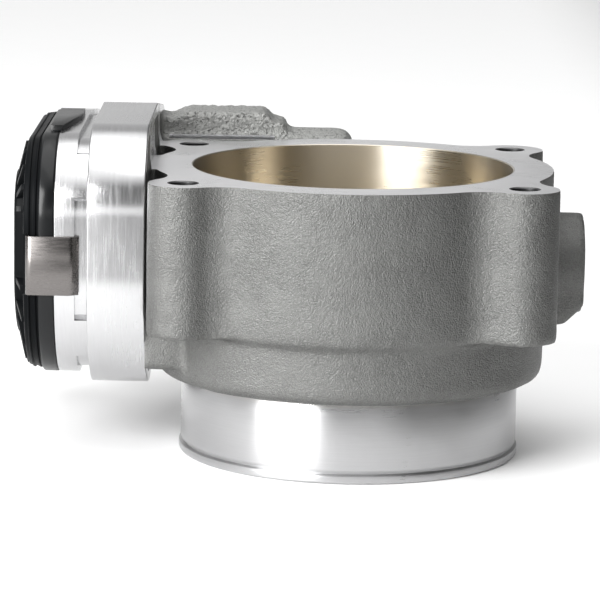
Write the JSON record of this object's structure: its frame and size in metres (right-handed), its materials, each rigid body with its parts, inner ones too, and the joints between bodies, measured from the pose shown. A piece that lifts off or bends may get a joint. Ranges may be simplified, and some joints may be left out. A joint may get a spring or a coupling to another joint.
{
  "type": "throttle body",
  "caption": "Drive-by-wire throttle body: round bore with a brass plate on a geared shaft, bolt-down manifold flange, inlet neck, gear housing with a black cover and a motor barrel.",
  "frame": {"origin": "centre of the throttle bore on the manifold flange face", "axes": "+Z out of the flange towards the manifold, +X along the throttle shaft away from the gear housing, +Y towards the motor barrel"},
  "size_m": [0.1796, 0.171, 0.1058],
  "materials": {
    "cast_aluminium": "sand-cast, with machined faces",
    "cover_plastic": "black glass-filled nylon, satin",
    "clip_steel": "stainless spring steel",
    "rubber": "black nitrile rubber",
    "shaft_steel": "ground steel",
    "plate_brass": "machined brass",
    "screw_steel": "zinc-plated steel",
    "bearing_steel": "polished bearing steel",
    "cage_brass": "pressed brass",
    "gear_nylon": "natural nylon",
    "spring_steel": "oil-tempered spring wire",
    "bush_plastic": "low-friction plastic",
    "can_steel": "zinc-plated drawn steel",
    "magnet_ferrite": "sintered ferrite",
    "end_cap_plastic": "moulded phenolic",
    "carbon": "pressed carbon",
    "lamination_steel": "stacked silicon steel",
    "copper": "enamelled copper wire",
    "contact_brass": "tin-plated brass",
    "pinion_brass": "cut brass",
    "board_green": "green solder mask",
    "chip_black": "moulded epoxy"
  },
  "bodies": {
    "housing": {"throttle_casting": "cast_aluminium", "gear_cover": "cover_plastic", "cover_clips": "clip_steel", "cover_gasket": "rubber", "needle_bearing_cup": "bearing_steel", "ball_bearing_outer": "bearing_steel", "bearing_shields": "bearing_steel", "shaft_seals": "rubber", "shaft_end_plug": "can_steel", "return_spring": "spring_steel", "spring_bush": "bush_plastic", "closed_stop_screw": "screw_steel", "idler_pin": "shaft_steel", "motor_can": "can_steel", "motor_magnets": "magnet_ferrite", "motor_rear_bush": "cage_brass", "motor_end_cap": "end_cap_plastic", "motor_brushes": "carbon", "motor_plate": "can_steel", "motor_plate_screws": "screw_steel", "motor_terminals": "contact_brass", "motor_spring_washer": "spring_steel", "sensor_board": "board_green", "sensor_chips": "chip_black", "connector_pins": "contact_brass"},
    "throttle": {"throttle_shaft": "shaft_steel", "throttle_plate": "plate_brass", "plate_screws": "screw_steel", "ball_bearing_inner": "bearing_steel", "shaft_circlip": "spring_steel", "sector_gear": "gear_nylon", "sensor_rotor": "shaft_steel"},
    "idler": {"idler_gear": "gear_nylon"},
    "rotor": {"motor_shaft": "shaft_steel", "motor_armature": "lamination_steel", "motor_windings": "copper", "motor_commutator": "copper", "motor_pinion": "pinion_brass"},
    "needles": {"bearing_needles": "bearing_steel", "needle_cage": "cage_brass"},
    "balls": {"bearing_balls": "bearing_steel", "ball_cage": "cage_brass"}
  },
  "joints": [
    {"name": "throttle_turn", "type": "hinge", "parent": "housing", "child": "throttle", "pos_m": [0, 0, -0.03], "axis": [1, 0, 0], "range_deg": [-5, 79], "stiffness_Nm_per_rad": 0.25, "deforming": ["return_spring"]},
    {"name": "idler_turn", "type": "hinge", "parent": "housing", "child": "idler", "pos_m": [-0.085, 0.03976, -0.02535], "axis": [1, 0, 0], "range_deg": [-314, 21]},
    {"name": "motor_turn", "type": "hinge", "parent": "housing", "child": "rotor", "pos_m": [-0.045, 0.077, -0.021], "axis": [1, 0, 0], "range_deg": [-55, 842]},
    {"name": "needle_orbit", "type": "hinge", "parent": "housing", "child": "needles", "pos_m": [-0.071, 0, -0.03], "axis": [1, 0, 0], "range_deg": [-2.6, 36.2]},
    {"name": "ball_orbit", "type": "hinge", "parent": "housing", "child": "balls", "pos_m": [0.064, 0, -0.03], "axis": [1, 0, 0], "range_deg": [-2.1, 30.6]}
  ],
  "couplings": [
    {"joint": "idler_turn", "follows": "throttle_turn", "ratio": -3.8462},
    {"joint": "motor_turn", "follows": "throttle_turn", "ratio": 10.337},
    {"joint": "needle_orbit", "follows": "throttle_turn", "ratio": 0.43478},
    {"joint": "ball_orbit", "follows": "throttle_turn", "ratio": 0.36778}
  ]
}
